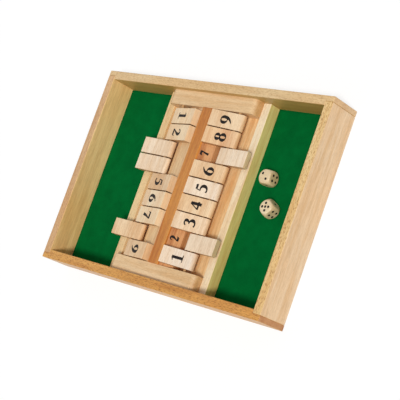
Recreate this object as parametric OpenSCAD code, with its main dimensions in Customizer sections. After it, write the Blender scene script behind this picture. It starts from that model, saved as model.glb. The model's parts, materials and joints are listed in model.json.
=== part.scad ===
// Two-player shut the box game: an open wooden box with two felt dice trays,
// a raised centre unit with two rows of hinged number tiles, and a pair of dice.
//
// Frame: X along the long side, Y from the front wall to the back wall, Z up.
// The origin is the middle of the underside. The two halves mirror each other
// about X = 0, apart from which tiles are turned over and where the dice lie.

/* [Box] */
// Inside length of a dice tray, from the centre unit to the side wall
tray_length = 74.8; // [60:0.1:110]
// Outside height
box_height = 36; // [35:0.5:50]
// Thickness of the four walls
wall_thick = 9.2; // [7:0.1:12]
// Part of the front and back walls that laps over the ends of the side walls
lap_skin = 5.5; // [3:0.1:6.5]
// Thickness of the base panel
base_thick = 5; // [3:0.5:8]
// How far the base panel reaches into the rebate of each wall
base_lap = 5; // [2:0.5:6]
// Thickness of the felt
felt_thick = 1.5; // [0.8:0.1:2.5]

/* [Centre unit] */
// Width of a rail
rail_width = 9.2; // [5:0.2:10]
// Height of a rail above the base panel
rail_height = 14.3; // [11:0.1:16]
// How far a turned tile reaches past its rail
rail_overhang = 2.7; // [1:0.1:6]
// Thickness of the deck between the rails
deck_thick = 10; // [6:0.2:11]
// Thickness of an end block along Y
block_thick = 15.2; // [12:0.1:20]
// Height of the wood above the rods in an end block
block_cover = 3.5; // [2.5:0.1:6]
// Radius of the rounded upper corners of an end block
block_round = 6; // [2:0.5:10]
// Width of the centre strip
strip_width = 13.2; // [10:0.2:24]
// How far the centre strip rises above the ramps
strip_rise = 2; // [0.6:0.1:3]
// Width of the left ramp
left_ramp_width = 22; // [10:0.1:22]
// Width of the right ramp
right_ramp_width = 15.9; // [10:0.1:22]

/* [Tiles] */
// Tiles in a row
tile_count = 9; // [9:1:9]
// Width of a tile along the rod
tile_width = 16.2; // [12:0.1:22]
// Gap between two tiles
tile_gap = 1.1; // [0.6:0.1:3]
// Gap between the last tile of a row and the end block
row_end_gap = 2.3; // [2.2:0.1:4]
// How far the left row has slid along its rod, towards the back
left_row_slide = -1.6; // [-1.6:0.1:1.6]
// How far the right row has slid along its rod, towards the back
right_row_slide = 0.5; // [-1.6:0.1:1.6]
// Thickness of a tile
tile_thick = 6.8; // [5.5:0.1:8]
// From the rod to the free end of a tile, along its plain face
tile_reach = 30.9; // [28:0.1:36]
// How much shorter the numbered face is at the free end
tile_slant = 1.7; // [0:0.1:3]
// From the rod to the rounded tail end of a tile
tile_tail = 8.4; // [6:0.1:10]
// Gap between the centre strip and the free end, at the middle of the tile's thickness
tile_end_gap = 2; // [0.8:0.1:3]
// Slope of a tile that lies on its ramp, in degrees
open_tilt = 12.2; // [8:0.1:14]
// Slope of a tile that is turned over, in degrees
turned_tilt = 3.1; // [0:0.1:6]
// Gap under a tile that lies on its ramp
rest_gap = 0.25; // [0.1:0.05:0.5]
// Numbers of the turned tiles of the left row
left_turned = [3, 4, 8]; // [1:1:9]
// Numbers of the turned tiles of the right row
right_turned = [2, 7]; // [1:1:9]

/* [Rods] */
// Diameter of a rod
rod_diameter = 3; // [2:0.1:4]
// Height of a rod above the deck
rod_height = 10.7; // [10.2:0.1:13]
// Depth of the rod's hole in an end block
rod_seat = 10; // [4:0.5:11]
// Radial clearance of a rod in its holes
rod_clearance = 0.05; // [0.03:0.01:0.1]

/* [Dice] */
// Length of a die's edge
die_size = 14; // [10:0.1:18]
// How far the sphere that rounds off a die would stand past its faces
die_bulge = 2.2; // [1.5:0.1:4]
// Diameter of a pip
pip_diameter = 2; // [1:0.1:2.6]
// Depth of a pip
pip_depth = 0.4; // [0.2:0.1:1]
// Distance of the outer pips from the middle of a face
pip_offset = 2.5; // [2.2:0.1:3]
// First die: distance from the right rail, and distance behind the middle
die_one_place = [21.8, 25.6]; // [-60:0.1:60]
// Turn of the first die about Z, in degrees
die_one_turn = 1.7; // [-45:0.1:45]
// Second die: distance from the right rail, and distance behind the middle
die_two_place = [35.1, -2.2]; // [-60:0.1:60]
// Turn of the second die about Z, in degrees
die_two_turn = -39; // [-45:0.1:45]

/* [Hidden] */
$fn = 64;
ROWS = [1 : tile_count];

// Heights
felt_top = base_thick + felt_thick;
deck_top = base_thick + deck_thick;
rod_z = deck_top + rod_height;
tail_radius = tile_thick / 2;
overcut = 1;

// Along X: the free ends of the tiles set the place of the rods, and turned
// tiles set the place of the rails.
strip_edge_x = strip_width / 2;
rod_x = strip_edge_x + tile_end_gap + tile_reach * cos(open_tilt);
unit_width = 2 * (rod_x + tile_reach * cos(turned_tilt) - rail_overhang);
deck_width = unit_width - 2 * rail_width;
inner_length = unit_width + 2 * tray_length;
box_length = inner_length + 2 * wall_thick;

// Along Y: the row of tiles sets the width of the box.
tile_pitch = tile_width + tile_gap;
block_face = (tile_count * tile_pitch - tile_gap) / 2 + row_end_gap;
inner_width = 2 * (block_face + block_thick);
box_width = inner_width + 2 * wall_thick;

rim_wood = "#dcae70";
pale_wood = "#e8cfa8";
ramp_wood = "#cd8757";
strip_wood = "#c8874b";
felt_green = "#006228";

// Height of the ramp's surface at a distance from the centre line: it runs
// parallel to the underside of a tile that lies on it.
function ramp_z(x) =
    rod_z + (rod_x - x) * tan(open_tilt)
    - (tail_radius + rest_gap) / cos(open_tilt);

// Place of tile number n in its row, counted from the row's first tile.
function row_place(n) = ((tile_count + 1) / 2 - n) * tile_pitch;

// True if a number is in a list.
function has(list, n) = len([for (m = list) if (m == n) m]) > 0;

// A plate of a size in X and Y that stands on a height.
module plate(size, thickness, z) {
    translate([-size.x / 2, -size.y / 2, z])
        cube([size.x, size.y, thickness]);
}

// An outline in the XZ plane, pulled out along Y and centred on Y = 0.
module along_y(length) {
    rotate([90, 0, 0])
        linear_extrude(length, center = true)
            children();
}

// The same piece mirrored to the left (side = -1) or kept on the right (1).
module on_side(side) {
    mirror([side < 0 ? 1 : 0, 0, 0])
        children();
}

// The space that the base panel fills, cut from every wall.
module base_rebate() {
    plate([inner_length + 2 * base_lap, inner_width + 2 * base_lap],
          base_thick + overcut, -overcut);
}

// Front wall (side = -1) or back wall (1), with laps over the side walls.
module long_wall(side) {
    side_wall_length = box_width - 2 * lap_skin;
    color(rim_wood)
        difference() {
            translate([-box_length / 2, side > 0 ? inner_width / 2 : -box_width / 2, 0])
                cube([box_length, wall_thick, box_height]);
            for (end = [-1, 1])
                translate([end * (box_length - wall_thick + overcut) / 2, 0, box_height / 2])
                    cube([wall_thick + overcut, side_wall_length, box_height + 2 * overcut],
                         center = true);
            base_rebate();
        }
}

// Left wall (side = -1) or right wall (1), between the laps.
module short_wall(side) {
    color(rim_wood)
        on_side(side)
            difference() {
                translate([inner_length / 2, lap_skin - box_width / 2, 0])
                    cube([wall_thick, box_width - 2 * lap_skin, box_height]);
                base_rebate();
            }
}

module base_panel() {
    color(pale_wood)
        plate([inner_length + 2 * base_lap, inner_width + 2 * base_lap], base_thick, 0);
}

// Felt of the left tray (side = -1) or the right tray (1).
module felt(side) {
    color(felt_green)
        translate([side * (unit_width + tray_length) / 2, 0, 0])
            plate([tray_length, inner_width], felt_thick, base_thick);
}

module centre_deck() {
    color(pale_wood)
        plate([deck_width, inner_width], deck_thick, base_thick);
}

module rail(side) {
    color(pale_wood)
        translate([side * (unit_width - rail_width) / 2, 0, 0])
            plate([rail_width, inner_width], rail_height, base_thick);
}

// Sloping board under the free ends of a row of tiles.
module ramp(side, width) {
    inner = strip_edge_x;
    outer = inner + width;
    color(side < 0 ? pale_wood : ramp_wood)
        on_side(side)
            along_y(2 * block_face)
                polygon([[inner, deck_top], [outer, deck_top],
                         [outer, ramp_z(outer)], [inner, ramp_z(inner)]]);
}

// Raised strip between the two ramps.
module centre_strip() {
    color(strip_wood)
        plate([strip_width, 2 * block_face],
              ramp_z(strip_edge_x) + strip_rise - deck_top, deck_top);
}

// Face of an end block: a rectangle with rounded upper corners.
module block_outline() {
    half = deck_width / 2;
    height = rod_height + block_cover;
    intersection() {
        translate([-half, 0])
            square([2 * half, height]);
        union() {
            translate([-half, -block_round])
                square([2 * half, height]);
            translate([block_round - half, 0])
                square([2 * (half - block_round), height]);
            for (end = [-1, 1])
                translate([end * (half - block_round), height - block_round])
                    circle(block_round);
        }
    }
}

// Front (side = -1) or back (1) end block, with blind holes for both rods.
module end_block(side) {
    color(pale_wood)
        difference() {
            translate([0, side * (block_face + block_thick / 2), deck_top])
                along_y(block_thick)
                    block_outline();
            for (end = [-1, 1])
                translate([end * rod_x, side * (block_face + (rod_seat - overcut) / 2), rod_z])
                    rotate([90, 0, 0])
                        cylinder(h = rod_seat + overcut,
                                 r = rod_diameter / 2 + rod_clearance, center = true);
        }
}

module rod(side) {
    color("#b98a58")
        translate([side * rod_x, 0, rod_z])
            rotate([90, 0, 0])
                cylinder(h = 2 * (block_face + rod_seat - rest_gap),
                         d = rod_diameter, center = true);
}

// Section of a tile in the XZ plane, with the rod at the origin, the rounded
// tail on the +X side, the slanting free end on the -X side and the number on top.
module tile_outline() {
    tail_x = tile_tail - tail_radius;
    difference() {
        union() {
            translate([tail_x, 0])
                circle(tail_radius);
            translate([-tile_reach, -tail_radius])
                square([tile_reach + tail_x, tile_thick]);
        }
        circle(rod_diameter / 2 + rod_clearance);
        translate([-tile_reach, -tail_radius])
            rotate(-atan(tile_slant / tile_thick))
                translate([-tile_thick, -overcut])
                    square([tile_thick, 2 * tile_thick]);
    }
}

// A tile of the right row at a Y, lying on its ramp or turned over.
module row_tile(y, turned) {
    color(pale_wood)
        translate([rod_x, y, rod_z])
            rotate([0, turned ? 180 - turned_tilt : open_tilt, 0])
                along_y(tile_width)
                    tile_outline();
}

module left_tile(n) {
    on_side(-1)
        row_tile(row_place(n) + left_row_slide, has(left_turned, n));
}

module right_tile(n) {
    row_tile(right_row_slide - row_place(n), has(right_turned, n));
}

// Places of the pips of a face in units of the pip offset.
function pip_places(count) = concat(
    count % 2 == 1 ? [[0, 0]] : [],
    count > 1 ? [[-1, 1], [1, -1]] : [],
    count > 3 ? [[-1, -1], [1, 1]] : [],
    count == 6 ? [[-1, 0], [1, 0]] : []);

// Holes for the pips of the face whose outward direction is +Z before a turn.
module face_pips(count, turn) {
    rotate(turn)
        for (place = pip_places(count))
            translate([place.x * pip_offset, place.y * pip_offset, die_size / 2 - pip_depth])
                cylinder(h = pip_depth + overcut, d = pip_diameter);
}

// A rounded die with a number on top and a number on its +X side. Opposite
// faces add up to seven.
module die(top, right, back) {
    color("#f0dab6")
        difference() {
            intersection() {
                cube(die_size, center = true);
                sphere(die_size / 2 + die_bulge);
            }
            face_pips(top, [0, 0, 0]);
            face_pips(7 - top, [180, 0, 0]);
            face_pips(right, [0, 90, 0]);
            face_pips(7 - right, [0, -90, 0]);
            face_pips(back, [-90, 0, 0]);
            face_pips(7 - back, [90, 0, 0]);
        }
}

module placed_die(place, turn) {
    translate([unit_width / 2 + place.x, place.y, felt_top + die_size / 2])
        rotate([0, 0, turn])
            children();
}

module die_one() {
    placed_die(die_one_place, die_one_turn)
        die(top = 2, right = 4, back = 6);
}

module die_two() {
    placed_die(die_two_place, die_two_turn)
        die(top = 5, right = 4, back = 1);
}

long_wall(-1);  // front_wall
long_wall(1);  // back_wall
short_wall(-1);  // left_wall
short_wall(1);  // right_wall
base_panel();
felt(-1);  // left_felt
felt(1);  // right_felt
centre_deck();
rail(-1);  // left_rail
rail(1);  // right_rail
ramp(-1, left_ramp_width);  // left_ramp
ramp(1, right_ramp_width);  // right_ramp
centre_strip();
end_block(1);  // back_end_block
end_block(-1);  // front_end_block
rod(-1);  // left_rod
rod(1);  // right_rod
for (n = ROWS) {
    left_tile(n);
    right_tile(n);
}
die_one();
die_two();
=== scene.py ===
"""Looks of the two-player shut the box game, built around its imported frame.

Every wooden node is copied from the frame, its edges are eased as sandpaper leaves them, and the copy
stands for the node. The felts, the dice, the numbers and all finishes are made here. Lengths are in
metres, and X, Y and Z are the frame's: X along the box's long side, Y from front to back, Z up.
"""

import json
import math

import bmesh
import bpy
from mathutils import Matrix, Vector, noise


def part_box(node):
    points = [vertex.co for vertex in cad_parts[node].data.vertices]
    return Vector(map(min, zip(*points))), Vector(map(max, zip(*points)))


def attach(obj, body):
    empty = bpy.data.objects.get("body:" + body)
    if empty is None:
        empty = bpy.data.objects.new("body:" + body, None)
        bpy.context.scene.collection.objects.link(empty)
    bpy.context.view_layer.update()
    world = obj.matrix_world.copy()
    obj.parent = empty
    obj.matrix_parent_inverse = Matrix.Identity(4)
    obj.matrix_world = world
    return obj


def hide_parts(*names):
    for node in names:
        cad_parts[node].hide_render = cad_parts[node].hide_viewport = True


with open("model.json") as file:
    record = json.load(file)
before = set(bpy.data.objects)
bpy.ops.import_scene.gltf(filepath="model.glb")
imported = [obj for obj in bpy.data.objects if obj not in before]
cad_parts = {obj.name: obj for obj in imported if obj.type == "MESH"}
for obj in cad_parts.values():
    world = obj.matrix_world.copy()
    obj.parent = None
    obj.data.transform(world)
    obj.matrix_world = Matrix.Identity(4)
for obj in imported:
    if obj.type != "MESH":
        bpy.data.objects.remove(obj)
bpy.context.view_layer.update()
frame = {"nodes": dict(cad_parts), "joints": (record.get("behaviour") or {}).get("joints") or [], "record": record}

MM = 0.001

# An edge is sharp where the surface turns by more than this across it.
SHARP_ANGLE = math.radians(35)

# The ways that a face can look
LEFTWARD, RIGHTWARD = (-1, 0, 0), (1, 0, 0)
FRONTWARD, BACKWARD = (0, -1, 0), (0, 1, 0)


# ---------------------------------------------------------------- colours and nodes

def srgb(red, green, blue):
    """A colour written as 0 to 255 values, as the linear colour that a shader takes."""
    def linear(value):
        share = value / 255
        return share / 12.92 if share <= 0.04045 else ((share + 0.055) / 1.055) ** 2.4
    return (linear(red), linear(green), linear(blue), 1.0)


def add(tree, kind, inputs=None, **settings):
    """A shader node with its settings, and with its inputs set to values or linked to sockets."""
    made = tree.nodes.new(kind)
    for name, value in settings.items():
        setattr(made, name, value)
    for key, value in (inputs or {}).items():
        if isinstance(value, bpy.types.NodeSocket):
            tree.links.new(value, made.inputs[key])
        else:
            made.inputs[key].default_value = value
    return made


def new_material(name):
    """A material whose node tree is empty."""
    material = bpy.data.materials.new(name)
    material.use_nodes = True
    material.node_tree.nodes.clear()
    return material, material.node_tree


def noise_value(tree, place, scale, detail=3.0, roughness=0.5, distortion=0.0):
    """A grey noise, with its scale in cells per metre."""
    return add(tree, "ShaderNodeTexNoise", {
        "Vector": place, "Scale": scale, "Detail": detail,
        "Roughness": roughness, "Distortion": distortion}).outputs[0]


def spread(tree, value, low, high, to_low=0.0, to_high=1.0):
    """Maps the band from low to high onto another band, and clamps what lies outside."""
    return add(tree, "ShaderNodeMapRange", {
        "Value": value, "From Min": low, "From Max": high,
        "To Min": to_low, "To Max": to_high}).outputs["Result"]


def mix_colour(tree, share, first, second, blend="MIX"):
    """Blends the second colour into the first by a share from 0 to 1."""
    mixed = add(tree, "ShaderNodeMix", data_type="RGBA", blend_type=blend)
    for socket, value in zip(("Factor", "A", "B"), (share, first, second)):
        target = next(s for s in mixed.inputs if s.name == socket and s.enabled)
        if isinstance(value, bpy.types.NodeSocket):
            tree.links.new(value, target)
        else:
            target.default_value = value
    return next(s for s in mixed.outputs if s.enabled)


def calculate(tree, operation, first, second=0.0):
    """The result of a sum or other operation on one or two values."""
    return add(tree, "ShaderNodeMath", {0: first, 1: second}, operation=operation).outputs[0]


# ---------------------------------------------------------------- finishes

WHITE = (1.0, 1.0, 1.0, 1.0)

# Wood: cells of each pattern in a metre across the grain, and the share of that along the grain.
DRIFT_CELLS = 22.0
DRIFT_ALONG = 0.5
BROAD_CELLS = 70.0
BAND_CELLS = 300.0
FIBRE_CELLS = 1300.0
STREAK_ALONG = 0.07
PORE_CELLS = 1300.0
PORE_ALONG = 0.25
# How far the texture moves from one seed to the next
SEED_STEP = Vector((0.37, 0.53, 0.71))
# Half of the band of noise that takes wood of figure 1 from dark to pale
FIGURE_REACH = 0.13
# Bands of noise over which a pattern goes from none to full
DRIFT_BAND = (0.38, 0.62)
STREAK_BAND = (0.3, 0.7)
PORE_BAND = (0.5, 0.66)
# What the patterns do to the colour: the fibres darken and lighten it, drift and pores tint it.
FIBRE_SHADES = (0.86, 1.06)
DRIFT_TINT = (1.0, 0.93, 0.84, 1.0)
PORE_BROWN = (0.45, 0.27, 0.13, 1.0)
# Pores on upright faces, as a share of those on level ones, and how level a face is where they begin
# to grow and where they are full
SIDE_FLECKS = 0.2
LEVEL_BAND = (0.4, 0.8)
# How squarely a face looks a way where its tint begins and where it is full
FACING_BAND = (0.45, 0.9)
# Depth of the pores, height of the fibres as a share of it, and how far a streak's roughness is from
# the wood's at most, below and above
WOOD_RELIEF = 0.08 * MM
FIBRE_HEIGHT = 0.4
SMOOTHER = 0.05
ROUGHER = 0.08


def stretch(axis, share):
    """Scale of a mapping that draws a pattern out along an axis."""
    return tuple(share if name == axis else 1.0 for name in "XYZ")


def tinted_with_painted_light(tree, colour, normal, facing):
    """Tints the faces that look each way named in facing: mostly painted light and shade, some end grain."""
    for way, tint in facing:
        toward = add(tree, "ShaderNodeVectorMath", {0: normal, 1: way},
                     operation="DOT_PRODUCT").outputs["Value"]
        colour = mix_colour(tree, spread(tree, toward, *FACING_BAND), colour, (*tint, 1), "MULTIPLY")
    return colour


def wood(name, pale, dark, grain, seed, figure=1.0, flecks=0.2, roughness=0.42, facing=()):
    """Lacquered wood in solid form: drift, streaks, fibres and short brown pores along the grain.

    pale and dark are the ends of its colour, grain is the axis along its fibres, figure is how strongly
    the colour wanders, and flecks is how dark the pores are on level faces. facing is a list of
    (way, tint) for the faces that look that way. A tint brings them to their tone in the photograph,
    so it may hold some of the light and shade there as well as the wood's own colour."""
    material, tree = new_material(name)
    coordinates = add(tree, "ShaderNodeTexCoord").outputs
    def along(share):
        return add(tree, "ShaderNodeMapping", {
            "Vector": coordinates["Object"], "Location": SEED_STEP * seed,
            "Scale": stretch(grain, share)}).outputs["Vector"]
    drawn = along(STREAK_ALONG)
    drift = noise_value(tree, along(DRIFT_ALONG), DRIFT_CELLS, detail=2.0)
    broad = noise_value(tree, drawn, BROAD_CELLS, detail=2.0, distortion=0.6)
    bands = noise_value(tree, drawn, BAND_CELLS, detail=4.0, roughness=0.65, distortion=0.3)
    fibres = noise_value(tree, drawn, FIBRE_CELLS, detail=3.0, roughness=0.65)
    pores = noise_value(tree, along(PORE_ALONG), PORE_CELLS, detail=2.0, roughness=0.55)

    wander = calculate(tree, "ADD", calculate(tree, "MULTIPLY", broad, 0.5),
                       calculate(tree, "MULTIPLY", bands, 0.5))
    reach = FIGURE_REACH / figure
    colour = mix_colour(tree, spread(tree, wander, 0.5 - reach, 0.5 + reach), dark, pale)
    blush = mix_colour(tree, spread(tree, drift, *DRIFT_BAND), DRIFT_TINT, WHITE)
    colour = mix_colour(tree, 1.0, colour, blush, "MULTIPLY")
    shade = spread(tree, fibres, *STREAK_BAND, *FIBRE_SHADES)
    grey = add(tree, "ShaderNodeCombineColor", {"Red": shade, "Green": shade, "Blue": shade}).outputs[0]
    colour = mix_colour(tree, 1.0, colour, grey, "MULTIPLY")
    upward = add(tree, "ShaderNodeSeparateXYZ", {"Vector": coordinates["Normal"]}).outputs["Z"]
    level = calculate(tree, "ABSOLUTE", upward)
    pore_mask = calculate(tree, "MULTIPLY", spread(tree, pores, *PORE_BAND, 0.0, flecks),
                          spread(tree, level, *LEVEL_BAND, SIDE_FLECKS, 1.0))
    colour = mix_colour(tree, pore_mask, colour, PORE_BROWN, "MULTIPLY")
    # Painted light and shade: faces are made lighter or darker by the way they look, as facing lists.
    colour = tinted_with_painted_light(tree, colour, coordinates["Normal"], facing)

    height = calculate(tree, "SUBTRACT", calculate(tree, "MULTIPLY", fibres, FIBRE_HEIGHT), pore_mask)
    bump = add(tree, "ShaderNodeBump", {
        "Height": height, "Strength": 0.25, "Distance": WOOD_RELIEF}).outputs["Normal"]
    gloss = spread(tree, bands, *STREAK_BAND, roughness - SMOOTHER, roughness + ROUGHER)
    shader = add(tree, "ShaderNodeBsdfPrincipled", {
        "Base Color": colour, "Roughness": gloss, "Normal": bump, "IOR": 1.45,
        "Coat Weight": 0.1, "Coat Roughness": 0.3})
    add(tree, "ShaderNodeOutputMaterial", {"Surface": shader.outputs["BSDF"]})
    return material


# Felt: cells of its patterns in a metre, the share of its tone that is lint, and the band of noise
# that takes it from its deep colour to its green
MOTTLE_CELLS = 90.0
LINT_CELLS = 2400.0
LINT_SHARE = 0.65
FELT_BAND = (0.35, 0.65)
FELT_RELIEF = 0.15 * MM
# Ink: cells of its specks in a metre, and the band of noise that takes it from whole to worn
SPECK_CELLS = 2200.0
SPECK_BAND = (0.55, 0.8)


def felt(name, green, deep):
    """Pressed wool felt: matted fibres with a soft sheen."""
    material, tree = new_material(name)
    coordinates = add(tree, "ShaderNodeTexCoord").outputs["Object"]
    mottle = noise_value(tree, coordinates, MOTTLE_CELLS, detail=3.0)
    lint = noise_value(tree, coordinates, LINT_CELLS, detail=4.0, roughness=0.7, distortion=1.5)
    tone = calculate(tree, "ADD", calculate(tree, "MULTIPLY", mottle, 1 - LINT_SHARE),
                     calculate(tree, "MULTIPLY", lint, LINT_SHARE))
    colour = mix_colour(tree, spread(tree, tone, *FELT_BAND), deep, green)
    bump = add(tree, "ShaderNodeBump", {
        "Height": lint, "Strength": 0.5, "Distance": FELT_RELIEF}).outputs["Normal"]
    shader = add(tree, "ShaderNodeBsdfPrincipled", {
        "Base Color": colour, "Roughness": 0.95, "Normal": bump, "IOR": 1.3,
        "Specular IOR Level": 0.02, "Sheen Weight": 0.01, "Sheen Roughness": 0.6})
    add(tree, "ShaderNodeOutputMaterial", {"Surface": shader.outputs["BSDF"]})
    return material


def ink(name, colour, worn):
    """Printed ink that lets a little of the wood's unevenness through."""
    material, tree = new_material(name)
    coordinates = add(tree, "ShaderNodeTexCoord").outputs["Object"]
    specks = noise_value(tree, coordinates, SPECK_CELLS, detail=3.0, roughness=0.7)
    tone = mix_colour(tree, spread(tree, specks, *SPECK_BAND), colour, worn)
    shader = add(tree, "ShaderNodeBsdfPrincipled", {
        "Base Color": tone, "Roughness": 0.5, "IOR": 1.45, "Specular IOR Level": 0.25})
    add(tree, "ShaderNodeOutputMaterial", {"Surface": shader.outputs["BSDF"]})
    return material


# ---------------------------------------------------------------- pieces

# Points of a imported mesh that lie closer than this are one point, and faces that meet flatter than
# this are one face.
WELD_GAP = 0.001 * MM
FLAT_ANGLE = math.radians(0.3)
EASE_STEPS = 3


def body_of_node(node):
    """The name of the body that a node belongs to."""
    return next(body for body, nodes in frame["record"]["behaviour"]["bodies"].items() if node in nodes)


def link_object(name, data):
    """A new object in the scene that shows a mesh, a lamp or a camera."""
    made = bpy.data.objects.new(name, data)
    bpy.context.scene.collection.objects.link(made)
    return made


def mesh_object(name, bm):
    """A new object made of a bmesh, which is used up."""
    mesh = bpy.data.meshes.new(name)
    bm.to_mesh(mesh)
    bm.free()
    return link_object(name, mesh)


def stand_for(piece, node, body):
    """Makes a piece ride on a body, in place of a node, which it hides."""
    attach(piece, body)
    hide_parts(node)


def finish_piece(name, bm, material, node):
    """Turns a bmesh into a smooth-shaded piece that stands for a node, and keeps its flat faces flat."""
    piece = mesh_object(name, bm)
    piece.data.shade_smooth()
    piece.data.materials.append(material)
    piece.modifiers.new("flat_faces", "WEIGHTED_NORMAL")
    stand_for(piece, node, body_of_node(node))
    return piece


def eased(node, material, ease):
    """A copy of a node with its sharp edges rounded over, which stands for the node."""
    bm = bmesh.new()
    bm.from_mesh(frame["nodes"][node].data)
    bmesh.ops.remove_doubles(bm, verts=bm.verts, dist=WELD_GAP)
    bmesh.ops.dissolve_limit(bm, angle_limit=FLAT_ANGLE, verts=bm.verts, edges=bm.edges)
    sharp = [e for e in bm.edges if e.is_manifold and e.calc_face_angle() > SHARP_ANGLE]
    bmesh.ops.bevel(bm, geom=sharp, offset=ease, segments=EASE_STEPS, profile=0.5,
                    affect="EDGES", clamp_overlap=True)
    finish_piece(node + "_eased", bm, material, node)


# ---------------------------------------------------------------- walls, panel and centre unit

WALL_EASE = 0.7 * MM
UNIT_EASE = 0.5 * MM
ROD_EASE = 0.6 * MM

# The front face's tint is a painted highlight that pales it towards white as glare would; the right end, its end
# grain, is darker.
front_wood = wood("front_wall_wood", srgb(230, 174, 94), srgb(194, 129, 53), "X", seed=16, flecks=0.8,
                  facing=[(FRONTWARD, (1.05, 1.18, 1.47)), (RIGHTWARD, (0.76, 0.72, 1.1))])
# Painted shade: the tint darkens the back wall's inner face and turns it olive.
back_wood = wood("back_wall_wood", srgb(236, 208, 160), srgb(218, 182, 132), "X", seed=2, flecks=0.4,
                 facing=[(FRONTWARD, (0.69, 0.59, 0.33)), (RIGHTWARD, (0.9, 0.84, 0.84))])
# Painted light: the tint lightens the left wall's inner face.
left_wood = wood("left_wall_wood", srgb(225, 185, 138), srgb(201, 155, 108), "Y", seed=3, flecks=0.4,
                 facing=[(RIGHTWARD, (1.37, 1.48, 1.27))])
# Painted light and shade: the tint makes the right wall's outer face a little darker in red and green, lighter in
# blue.
right_wood = wood("right_wall_wood", srgb(250, 223, 168), srgb(230, 190, 126), "Y", seed=4, flecks=0.7,
                  facing=[(RIGHTWARD, (0.92, 0.93, 1.2))])
deck_wood = wood("deck_wood", srgb(252, 219, 168), srgb(232, 183, 124), "Y", seed=5, figure=1.6)
# Painted light: the tint lightens the inner face of the left rail.
left_rail_wood = wood("left_rail_wood", srgb(240, 214, 166), srgb(220, 182, 128), "Y", seed=6, figure=1.4,
                      facing=[(RIGHTWARD, (1.1, 1.1, 1.1))])
# The outer side of the right rail is tinted darker and olive: partly its own colour, partly painted shade.
right_rail_wood = wood("right_rail_wood", srgb(252, 234, 200), srgb(236, 204, 160), "Y", seed=7, figure=1.4,
                       facing=[(RIGHTWARD, (0.92, 0.94, 0.52))])
left_ramp_wood = wood("left_ramp_wood", srgb(240, 206, 156), srgb(220, 174, 122), "Y", seed=8, figure=1.6)
right_ramp_wood = wood("right_ramp_wood", srgb(222, 164, 110), srgb(182, 116, 64), "Y", seed=9, figure=1.7)
# Painted light: the tint lightens the strip's right side.
strip_wood = wood("strip_wood", srgb(210, 143, 68), srgb(184, 111, 44), "Y", seed=10, figure=1.5,
                  facing=[(RIGHTWARD, (1.3, 1.4, 1.5))])
# The block's ends, which are end grain, are tinted darker and more orange: partly their own colour, partly painted
# shade.
block_wood = wood("block_wood", srgb(240, 214, 174), srgb(222, 186, 138), "X", seed=11, figure=1.3,
                  facing=[(RIGHTWARD, (0.82, 0.7, 0.55)), (LEFTWARD, (0.82, 0.7, 0.55))])
panel_wood = wood("panel_wood", srgb(224, 186, 134), srgb(202, 158, 104), "X", seed=12, figure=1.5)
dowel_wood = wood("dowel_wood", srgb(206, 164, 112), srgb(180, 136, 84), "Y", seed=13)

for node, material, ease in (
        ("front_wall", front_wood, WALL_EASE),
        ("back_wall", back_wood, WALL_EASE),
        ("left_wall", left_wood, WALL_EASE),
        ("right_wall", right_wood, WALL_EASE),
        ("base_panel", panel_wood, UNIT_EASE),
        ("centre_deck", deck_wood, UNIT_EASE),
        ("left_rail", left_rail_wood, UNIT_EASE),
        ("right_rail", right_rail_wood, UNIT_EASE),
        ("left_ramp", left_ramp_wood, UNIT_EASE),
        ("right_ramp", right_ramp_wood, UNIT_EASE),
        ("centre_strip", strip_wood, UNIT_EASE),
        ("back_end_block", block_wood, UNIT_EASE),
        ("front_end_block", block_wood, UNIT_EASE),
        ("left_rod", dowel_wood, ROD_EASE),
        ("right_rod", dowel_wood, ROD_EASE)):
    eased(node, material, ease)


# ---------------------------------------------------------------- felts

# Width of a felt's cells, and of its soft edge
FELT_CELL = 2.5 * MM
# How far a felt's top lies below its node's, and the shares of that by which its waves raise and
# lower it and by which its edge lies lower
FELT_DIP = 0.12 * MM
FELT_WAVE = 0.6
FELT_EDGE = 1.5
# The waves, in a metre, and how high the ripples are beside the swells
SWELLS_PER_METRE = 45.0
RIPPLES_PER_METRE = 160.0
RIPPLE_HEIGHT = 0.5


def felt_dip(place, inside):
    """How far a felt's top lies below its node's. inside is the way to the nearest edge."""
    swell = noise.noise(place * SWELLS_PER_METRE)
    ripple = noise.noise(place * RIPPLES_PER_METRE)
    edge = 1.0 - min(inside / FELT_CELL, 1.0)
    return FELT_DIP * (1.0 + FELT_WAVE * (swell + RIPPLE_HEIGHT * ripple) + FELT_EDGE * edge)


def put_in_order(elements, place):
    """Orders the vertices or the faces of a bmesh by place, as an extrusion leaves them in no set order."""
    for index, element in enumerate(sorted(elements, key=place)):
        element.index = index
    elements.sort()


def felt_sheet(node, material):
    """A felt with a faintly uneven top and a soft upper edge."""
    low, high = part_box(node)
    size = high - low
    bm = bmesh.new()
    bmesh.ops.create_grid(bm, x_segments=round(size.x / FELT_CELL), y_segments=round(size.y / FELT_CELL),
                          size=0.5)
    for vert in bm.verts:
        place = Vector((low.x + (vert.co.x + 0.5) * size.x, low.y + (vert.co.y + 0.5) * size.y, high.z))
        inside = min(place.x - low.x, high.x - place.x, place.y - low.y, high.y - place.y)
        place.z -= felt_dip(place, inside)
        vert.co = place
    rim = [e for e in bm.edges if e.is_boundary]
    for made in bmesh.ops.extrude_edge_only(bm, edges=rim)["geom"]:
        if isinstance(made, bmesh.types.BMVert):
            made.co.z = low.z
    bmesh.ops.holes_fill(bm, edges=[e for e in bm.edges if e.is_boundary])
    bmesh.ops.recalc_face_normals(bm, faces=bm.faces)
    put_in_order(bm.verts, lambda vert: vert.co[:])
    put_in_order(bm.faces, lambda face: face.calc_center_median()[:])
    piece = finish_piece(node + "_cloth", bm, material, node)


green_felt = felt("green_felt", srgb(0, 108, 48), srgb(0, 86, 37))
felt_sheet("left_felt", green_felt)
felt_sheet("right_felt", green_felt)


# ---------------------------------------------------------------- numbers

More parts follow.
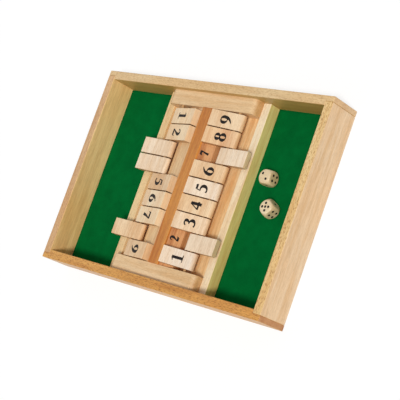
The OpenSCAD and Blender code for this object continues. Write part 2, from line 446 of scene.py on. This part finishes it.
# Height of the numbers on the tiles and on the right ramp, how far they are stretched sideways, and
# how wide their pen is
TILE_DIGIT_HEIGHT = 12.8 * MM
TILE_DIGIT_WIDTH = 1.06
TILE_PEN = 1.38
RAMP_DIGIT_HEIGHT = 9.6 * MM
RAMP_DIGIT_WIDTH = 0.85
RAMP_PEN = 1.8
# How far the ink stands out of the wood, and reaches into it
INK_RELIEF = 0.04 * MM

# Each number is a set of strokes of the pen in a box that is 1 high and 0.6 wide. A stroke is a list
# of (x, y, width) that a smooth line passes through, and it may be closed into a ring. The widths are
# those of a pen of 1: TILE_PEN and RAMP_PEN make them wider.
DIGIT_MIDDLE_X = 0.30
DIGIT_MIDDLE_Y = 0.5
# A ring's points, its least and greatest width, and how soon it thins away from its sides
RING_POINTS = 20
RING_THIN = 0.055
RING_THICK = 0.165
RING_TAPER = 1.5
# Points along a stroke from each of its given points to the next
STROKE_STEPS = 6
# Points of a joined number that lie closer than this are one point, in the same unit.
STROKE_GAP = 0.0001


def ring(centre_x, centre_y, radius_x, radius_y):
    """A closed stroke along an ellipse, thick at its sides and thin at its top and bottom."""
    points = []
    for step in range(RING_POINTS):
        angle = math.radians(360 * step / RING_POINTS)
        width = RING_THIN + (RING_THICK - RING_THIN) * abs(math.cos(angle)) ** RING_TAPER
        points.append((centre_x + radius_x * math.cos(angle), centre_y + radius_y * math.sin(angle), width))
    return {"closed": True, "points": points}


def turned_over(strokes):
    """The strokes rotated by half a turn about the middle of the number."""
    return [dict(stroke, points=[(2 * DIGIT_MIDDLE_X - x, 2 * DIGIT_MIDDLE_Y - y, width)
                                 for x, y, width in stroke["points"]])
            for stroke in strokes]


SIX = [
    ring(0.30, 0.315, 0.205, 0.275),
    {"points": [(0.52, 0.965, 0.035), (0.38, 0.90, 0.07), (0.22, 0.75, 0.12),
                (0.125, 0.55, 0.155), (0.095, 0.315, 0.16)]},
]
DIGITS = {
    1: [
        {"points": [(0.30, 0.02, 0.145), (0.30, 0.50, 0.145), (0.30, 0.98, 0.145)]},
        {"points": [(0.04, 0.025, 0.05), (0.30, 0.025, 0.05), (0.56, 0.025, 0.05)]},
        {"points": [(0.15, 0.03, 0.02), (0.30, 0.075, 0.085), (0.45, 0.03, 0.02)]},
        {"points": [(0.06, 0.85, 0.045), (0.20, 0.91, 0.06), (0.30, 0.96, 0.07)]},
    ],
    2: [
        {"points": [(0.07, 0.74, 0.05), (0.13, 0.88, 0.075), (0.27, 0.955, 0.085),
                    (0.41, 0.88, 0.14), (0.45, 0.73, 0.17), (0.39, 0.55, 0.14),
                    (0.26, 0.34, 0.09), (0.09, 0.09, 0.06)]},
        {"points": [(0.05, 0.065, 0.13), (0.30, 0.065, 0.13), (0.50, 0.065, 0.13)]},
        {"points": [(0.50, 0.06, 0.10), (0.55, 0.15, 0.05), (0.575, 0.27, 0.03)]},
    ],
    3: [
        {"points": [(0.07, 0.80, 0.055), (0.16, 0.92, 0.08), (0.29, 0.955, 0.085),
                    (0.42, 0.87, 0.15), (0.42, 0.72, 0.15), (0.33, 0.59, 0.08), (0.20, 0.545, 0.045)]},
        {"points": [(0.20, 0.545, 0.045), (0.37, 0.51, 0.09), (0.475, 0.37, 0.16),
                    (0.46, 0.19, 0.16), (0.34, 0.06, 0.10), (0.19, 0.04, 0.085), (0.06, 0.10, 0.10)]},
    ],
    4: [
        {"points": [(0.42, 0.02, 0.155), (0.42, 0.50, 0.155), (0.42, 0.95, 0.155)]},
        {"points": [(0.40, 0.97, 0.06), (0.22, 0.63, 0.055), (0.04, 0.29, 0.055)]},
        {"points": [(0.03, 0.29, 0.11), (0.30, 0.29, 0.11), (0.59, 0.29, 0.11)]},
    ],
    5: [
        {"points": [(0.17, 0.925, 0.13), (0.35, 0.925, 0.13), (0.52, 0.94, 0.15)]},
        {"points": [(0.185, 0.93, 0.06), (0.15, 0.75, 0.05), (0.11, 0.575, 0.05)]},
        {"points": [(0.11, 0.575, 0.045), (0.26, 0.61, 0.085), (0.41, 0.53, 0.14),
                    (0.47, 0.35, 0.17), (0.42, 0.16, 0.14), (0.28, 0.05, 0.09),
                    (0.16, 0.04, 0.085), (0.05, 0.10, 0.10)]},
    ],
    6: SIX,
    7: [
        {"points": [(0.06, 0.915, 0.14), (0.30, 0.915, 0.14), (0.55, 0.915, 0.14)]},
        {"points": [(0.075, 0.94, 0.07), (0.055, 0.83, 0.045), (0.03, 0.70, 0.03)]},
        {"points": [(0.535, 0.93, 0.06), (0.43, 0.68, 0.085), (0.31, 0.35, 0.13), (0.235, 0.02, 0.16)]},
    ],
    8: [ring(0.30, 0.755, 0.165, 0.20), ring(0.30, 0.285, 0.205, 0.245)],
    9: turned_over(SIX),
}


def smooth_line(points, closed):
    """Points along a Catmull-Rom curve through the given (x, y, width) points."""
    count = len(points)
    spans = count if closed else count - 1
    def at(index):
        return Vector(points[index % count] if closed else points[min(max(index, 0), count - 1)])
    line = []
    for span in range(spans):
        before, start, end, after = (at(span + shift) for shift in (-1, 0, 1, 2))
        for step in range(STROKE_STEPS):
            t = step / STROKE_STEPS
            line.append(0.5 * (2 * start + (end - before) * t
                               + (2 * before - 5 * start + 4 * end - after) * t ** 2
                               + (3 * start - before - 3 * end + after) * t ** 3))
    if not closed:
        line.append(at(count - 1))
    return line


def stroke_solid(stroke, pen):
    """A stroke as a thin closed solid from z = -1 to z = 1, drawn with a wider or narrower pen."""
    closed = stroke.get("closed", False)
    line = smooth_line(stroke["points"], closed)
    count = len(line)
    bm = bmesh.new()
    rings = []
    for index, point in enumerate(line):
        before = line[(index - 1) % count] if closed else line[max(index - 1, 0)]
        after = line[(index + 1) % count] if closed else line[min(index + 1, count - 1)]
        ahead = (after.xy - before.xy).normalized()
        side = Vector((-ahead.y, ahead.x)) * point.z * pen / 2
        corners = ((side, 1.0), (-side, 1.0), (-side, -1.0), (side, -1.0))
        rings.append([bm.verts.new((*(point.xy + reach), z)) for reach, z in corners])
    for index in range(count if closed else count - 1):
        this, following = rings[index], rings[(index + 1) % count]
        for corner in range(4):
            other = (corner + 1) % 4
            bm.faces.new((this[corner], this[other], following[other], following[corner]))
    if not closed:
        bm.faces.new(rings[0])
        bm.faces.new(rings[-1])
    bmesh.ops.recalc_face_normals(bm, faces=bm.faces)
    return bm


def add_boolean(target, other, operation):
    """Joins another object to a scratch object, or cuts it out, with an exact modifier."""
    boolean = target.modifiers.new("boolean", "BOOLEAN")
    boolean.operation = operation
    boolean.solver = "EXACT"
    boolean.object = other
    return boolean


def evaluated_mesh(scratch, gap):
    """A scratch object's mesh with its modifiers applied, made of triangles. Points closer than gap
    become one, which clears the slivers that a boolean leaves."""
    graph = bpy.context.evaluated_depsgraph_get()
    mesh = bpy.data.meshes.new_from_object(scratch.evaluated_get(graph), depsgraph=graph)
    bm = bmesh.new()
    bm.from_mesh(mesh)
    bmesh.ops.remove_doubles(bm, verts=bm.verts, dist=gap)
    bmesh.ops.triangulate(bm, faces=bm.faces)
    bmesh.ops.dissolve_degenerate(bm, edges=bm.edges, dist=gap)
    bm.to_mesh(mesh)
    bm.free()
    return mesh


def digit_mesh(number, pen):
    """The strokes of a number joined into one solid, centred on the number's middle."""
    parts = [mesh_object(f"stroke_{i}", stroke_solid(s, pen)) for i, s in enumerate(DIGITS[number])]
    for other in parts[1:]:
        add_boolean(parts[0], other, "UNION")
    mesh = evaluated_mesh(parts[0], STROKE_GAP)
    mesh.transform(Matrix.Translation((-DIGIT_MIDDLE_X, -DIGIT_MIDDLE_Y, 0.0)))
    for part in parts:
        bpy.data.objects.remove(part)
    return mesh


tile_digits = {number: digit_mesh(number, TILE_PEN) for number in DIGITS}
ramp_digits = {number: digit_mesh(number, RAMP_PEN) for number in DIGITS}
black_ink = ink("number_ink", srgb(16, 9, 6), srgb(40, 26, 20))


def print_digit(name, shape, place, up, normal, height, width_share, body):
    """A number's shape printed on a face. place is its middle, up is the way its top points, normal is
    the face's own, and width_share stretches the number sideways."""
    right = up.cross(normal)
    axes = Matrix((right * height * width_share, up * height, normal * INK_RELIEF)).transposed().to_4x4()
    mesh = shape.copy()
    mesh.transform(Matrix.Translation(place) @ axes)
    mesh.materials.clear()
    mesh.materials.append(black_ink)
    piece = link_object(name, mesh)
    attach(piece, body)


# ---------------------------------------------------------------- tiles

# The same values as in the part's source.
TILE_THICK = 6.8 * MM
TILE_REACH = 30.9 * MM
TILE_SLANT = 1.7 * MM
TILE_TAIL = 8.4 * MM
OPEN_TILT = math.radians(12.2)
TURNED_TILT = math.radians(3.1)

TILE_EASE = 0.6 * MM
FIRST_TILE_SEED = 20
RIGHT_ROW = "right_tile_"
TILE_TONES = {
    "white": (srgb(252, 238, 220), srgb(238, 214, 188)),
    "butter": (srgb(254, 232, 196), srgb(242, 206, 164)),
    "cream": (srgb(252, 230, 202), srgb(234, 202, 166)),
    "honey": (srgb(246, 218, 180), srgb(226, 186, 142)),
    "rosy": (srgb(242, 208, 166), srgb(222, 174, 130)),
}
ROW_TONES = {
    "left": ("butter", "butter", "cream", "cream", "honey", "butter", "butter", "honey", "honey"),
    "right": ("white", "cream", "cream", "honey", "white", "honey", "cream", "rosy", "honey"),
}
# Tints by the way a face looks, all painted: shade that darkens the ends and, much more, the sides of a tile,
# where the gaps between tiles are, and light that lifts the outer end of a turned tile in the right row.
END_PAINTED_SHADE = (0.9, 0.82, 0.72)
SIDE_PAINTED_SHADE = (0.54, 0.42, 0.3)
LEANING_END_PAINTED_LIGHT = (1.2, 1.1, 0.9)


def tile_axes(joint, turned):
    """The tile's direction from the rod to its free end, and the normal of its numbered face."""
    side = 1 if joint["pos_m"][0] > 0 else -1
    turn = math.pi - TURNED_TILT if turned else OPEN_TILT
    to_end = Vector((-side * math.cos(turn), 0, math.sin(turn)))
    normal = Vector((side * math.sin(turn), 0, math.cos(turn)))
    return to_end, normal


def dress_tile(joint, index):
    """One tile: eased wood with its number printed on the middle of its face."""
    node = joint["child"]
    number = int(node.rsplit("_", 1)[1])
    turned = joint["range_deg"][0] < 0
    pale, dark = TILE_TONES[ROW_TONES[node.split("_")[0]][number - 1]]
    leans_out = turned and node.startswith(RIGHT_ROW)
    # Painted light and shade on the ends and sides of the tile.
    facing = [(LEFTWARD, END_PAINTED_SHADE), (RIGHTWARD, LEANING_END_PAINTED_LIGHT if leans_out else END_PAINTED_SHADE),
              (FRONTWARD, SIDE_PAINTED_SHADE), (BACKWARD, SIDE_PAINTED_SHADE)]
    material = wood(node + "_wood", pale, dark, "Y", FIRST_TILE_SEED + index, figure=1.3, facing=facing)
    eased(node, material, TILE_EASE)
    to_end, normal = tile_axes(joint, turned)
    along = (TILE_REACH - TILE_SLANT - TILE_TAIL) / 2
    middle = Vector(joint["pos_m"]) + to_end * along + normal * TILE_THICK / 2
    print_digit(node + "_number", tile_digits[number], middle, to_end, normal,
                TILE_DIGIT_HEIGHT, TILE_DIGIT_WIDTH, node)


tile_joints = [joint for joint in frame["joints"] if "_tile_" in joint["child"]]
for index, joint in enumerate(tile_joints):
    dress_tile(joint, index)


# How far down the right ramp its small numbers lie, which show where a tile is turned over.
RAMP_DIGIT_INSET = 7.0 * MM


def print_ramp_number(joint):
    """The number on the right ramp that lies under a tile of the right row."""
    number = int(joint["child"][len(RIGHT_ROW):])
    low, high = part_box("right_ramp")
    up, normal = tile_axes(joint, turned=False)
    edge = Vector((low.x, joint["pos_m"][1], high.z))
    print_digit(f"ramp_number_{number}", ramp_digits[number], edge - up * RAMP_DIGIT_INSET, up, normal,
                RAMP_DIGIT_HEIGHT, RAMP_DIGIT_WIDTH, "box")


for joint in tile_joints:
    if joint["child"].startswith(RIGHT_ROW):
        print_ramp_number(joint)


# ---------------------------------------------------------------- dice

# Cells along an edge of the cube that a die's surface is shaped from
DIE_CELLS = 28
# How far the sphere that rounds a die off stands out past its faces, and how sharply the two meet
DIE_BULGE = 2.2 * MM
DIE_SHARPNESS = 26
# Painted shade that darkens a die's front and right faces.
DIE_SIDE_PAINTED_SHADE = (0.8, 0.76, 0.66)

PIP_RADIUS = 1.3 * MM
PIP_DEPTH = 0.5 * MM
# The way from a face's middle to a pip, along each side of the face
PIP_OFFSET = 2.5 * MM
PIP_BALL_DETAIL = 3
# Points of a cut die that lie closer than this are one point.
PIP_GAP = 0.004 * MM
# How much further apart the three pips in each row of a six stand
SIX_SPREAD = 1.16
CORNERS = [(-1, 1), (1, -1), (-1, -1), (1, 1)]
PIP_PLACES = {
    1: [(0, 0)],
    2: CORNERS[:2],
    3: [(0, 0)] + CORNERS[:2],
    4: CORNERS,
    5: [(0, 0)] + CORNERS,
    6: [(x, SIX_SPREAD * y) for x, y in CORNERS] + [(-1, 0), (1, 0)],
}


def die_body(half):
    """A cube rounded off by a sphere, with soft edges between its faces and the sphere."""
    bm = bmesh.new()
    bmesh.ops.create_cube(bm, size=2.0)
    bmesh.ops.subdivide_edges(bm, edges=bm.edges, cuts=DIE_CELLS - 1, use_grid_fill=True)
    sphere = half + DIE_BULGE
    for vert in bm.verts:
        out = vert.co.normalized()
        flat = half / max(abs(c) for c in out)
        vert.co = out * (flat ** -DIE_SHARPNESS + sphere ** -DIE_SHARPNESS) ** (-1 / DIE_SHARPNESS)
    return bm


def die_faces(top, right, back):
    """The six numbers, each with the turn that carries +Z to its face. Opposite faces add up to seven."""
    quarter = math.pi / 2
    return [
        (top, Matrix.Identity(3)), (7 - top, Matrix.Rotation(math.pi, 3, "X")),
        (right, Matrix.Rotation(quarter, 3, "Y")), (7 - right, Matrix.Rotation(-quarter, 3, "Y")),
        (back, Matrix.Rotation(-quarter, 3, "X")), (7 - back, Matrix.Rotation(quarter, 3, "X"))]


def pip_cutters(half, faces):
    """Spheres that cut the pips into the faces, which are a list from die_faces."""
    ball = (PIP_RADIUS ** 2 + PIP_DEPTH ** 2) / (2 * PIP_DEPTH)
    bm = bmesh.new()
    for number, turn in faces:
        for x, y in PIP_PLACES[number]:
            centre = turn @ Vector((x * PIP_OFFSET, y * PIP_OFFSET, half + ball - PIP_DEPTH))
            bmesh.ops.create_icosphere(bm, subdivisions=PIP_BALL_DETAIL, radius=ball,
                                       matrix=Matrix.Translation(centre))
    return bm


def dress_die(node, turn_deg, top, right, back):
    """A die with its pips cut in, where top, right and back are the numbers on +Z, +X and +Y."""
    low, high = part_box(node)
    half = (high.z - low.z) / 2
    cube = mesh_object(node + "_raw", die_body(half))
    cube.data.materials.append(die_wood)
    cutters = mesh_object(node + "_cutters", pip_cutters(half, die_faces(top, right, back)))
    cutters.data.materials.append(pip_paint)
    add_boolean(cube, cutters, "DIFFERENCE").material_mode = "TRANSFER"
    mesh = evaluated_mesh(cube, PIP_GAP)
    for scratch in (cube, cutters):
        bpy.data.objects.remove(scratch)
    mesh.shade_smooth()
    mesh.set_sharp_from_angle(angle=SHARP_ANGLE)
    turn = Matrix.Rotation(math.radians(turn_deg), 4, "Z")
    mesh.transform(Matrix.Translation((low + high) / 2) @ turn)
    stand_for(link_object(node + "_dressed", mesh), node, node)


# The die's front and right faces carry painted shade.
die_wood = wood("die_wood", srgb(242, 226, 192), srgb(228, 204, 164), "X", seed=50, figure=0.7, flecks=0.12,
                roughness=0.3, facing=[(FRONTWARD, DIE_SIDE_PAINTED_SHADE), (RIGHTWARD, DIE_SIDE_PAINTED_SHADE)])
pip_paint = ink("pip_paint", srgb(8, 6, 6), srgb(18, 14, 12))
dress_die("die_one", turn_deg=1.7, top=2, right=4, back=6)
dress_die("die_two", turn_deg=-39.0, top=5, right=4, back=1)


# ---------------------------------------------------------------- stage, lights and camera

FLOOR_RADIUS = 6.0
FLOOR_SIDES = 96
# The floor bounces light as the first grey. Where it shows, it is the second, which carries the
# shadow, with a glow that makes the lit floor white.
FLOOR_BOUNCE = (0.82, 0.82, 0.82, 1.0)
FLOOR_SHADE = (0.3, 0.3, 0.3, 1.0)
FLOOR_GLOW = 0.73

# White light from all round, and one lamp
AMBIENT = 0.395
KEY_STRENGTH = 2.13
KEY_SPREAD = math.radians(12)
KEY_AZIMUTH = math.radians(64)
KEY_ELEVATION = math.radians(51)

# Camera fitted to the box's edges in the photograph: direction from the object, roll and distance.
CAMERA_AZIMUTH = math.radians(79.207)
CAMERA_ELEVATION = math.radians(44.926)
CAMERA_ROLL = math.radians(-62.759)
CAMERA_DISTANCE = 1.1508
CAMERA_TARGET = Vector((0.001454, -0.005027, 0.0))
CAMERA_LENS = 106.54
CAMERA_SENSOR = 36.0


def direction(azimuth, elevation):
    """The way to a place at an azimuth, from 0 at the front through 90 degrees at the right."""
    return Vector((math.sin(azimuth) * math.cos(elevation), -math.cos(azimuth) * math.cos(elevation),
                   math.sin(elevation)))


def shows_background(tree):
    """1 for the rays that show the background: to the camera, in a reflection and through glass."""
    path = add(tree, "ShaderNodeLightPath").outputs
    indirect = calculate(tree, "MAXIMUM", path["Is Glossy Ray"], path["Is Transmission Ray"])
    return calculate(tree, "MAXIMUM", path["Is Camera Ray"], indirect)


def floor_material():
    """Pale floor that bounces light, and that shows as white with a faint shadow on it."""
    material, tree = new_material("floor_white")
    bounce = add(tree, "ShaderNodeBsdfDiffuse", {"Color": FLOOR_BOUNCE}).outputs[0]
    shade = add(tree, "ShaderNodeBsdfDiffuse", {"Color": FLOOR_SHADE}).outputs[0]
    glow = add(tree, "ShaderNodeEmission", {"Color": WHITE, "Strength": FLOOR_GLOW}).outputs[0]
    white = add(tree, "ShaderNodeAddShader", {0: shade, 1: glow}).outputs[0]
    surface = add(tree, "ShaderNodeMixShader", {0: shows_background(tree), 1: bounce, 2: white}).outputs[0]
    add(tree, "ShaderNodeOutputMaterial", {"Surface": surface})
    return material


def make_floor():
    """A wide round floor under the box."""
    bm = bmesh.new()
    bmesh.ops.create_circle(bm, cap_ends=True, segments=FLOOR_SIDES, radius=FLOOR_RADIUS)
    floor = mesh_object("floor", bm)
    floor.data.materials.append(floor_material())


def make_world():
    """Even white light from all round, and plain white where the background shows."""
    world = bpy.data.worlds.new("studio")
    bpy.context.scene.world = world
    world.use_nodes = True
    tree = world.node_tree
    tree.nodes.clear()
    strength = spread(tree, shows_background(tree), 0.0, 1.0, AMBIENT, 1.0)
    light = add(tree, "ShaderNodeBackground", {"Color": WHITE, "Strength": strength}).outputs[0]
    add(tree, "ShaderNodeOutputWorld", {"Surface": light})


def make_key_light():
    """A distant soft lamp."""
    lamp = bpy.data.lights.new("key_light", "SUN")
    lamp.energy = KEY_STRENGTH
    lamp.angle = KEY_SPREAD
    key = link_object("key_light", lamp)
    key.rotation_mode = "QUATERNION"
    key.rotation_quaternion = direction(KEY_AZIMUTH, KEY_ELEVATION).to_track_quat("Z", "Y")


def make_camera():
    """The camera of the photograph, as if it stood at the right and were rolled on its side."""
    away = direction(CAMERA_AZIMUTH, CAMERA_ELEVATION)
    level = Vector((0, 0, 1)).cross(away).normalized()
    upright = away.cross(level)
    right = level * math.cos(CAMERA_ROLL) + upright * math.sin(CAMERA_ROLL)
    data = bpy.data.cameras.new("camera")
    data.sensor_width = CAMERA_SENSOR
    data.lens = CAMERA_LENS
    camera = link_object("camera", data)
    turn = Matrix((right, away.cross(right), away)).transposed().to_4x4()
    camera.matrix_world = Matrix.Translation(CAMERA_TARGET + away * CAMERA_DISTANCE) @ turn
    bpy.context.scene.camera = camera


make_floor()
make_world()
make_key_light()
make_camera()
bpy.context.scene.view_settings.view_transform = "Standard"
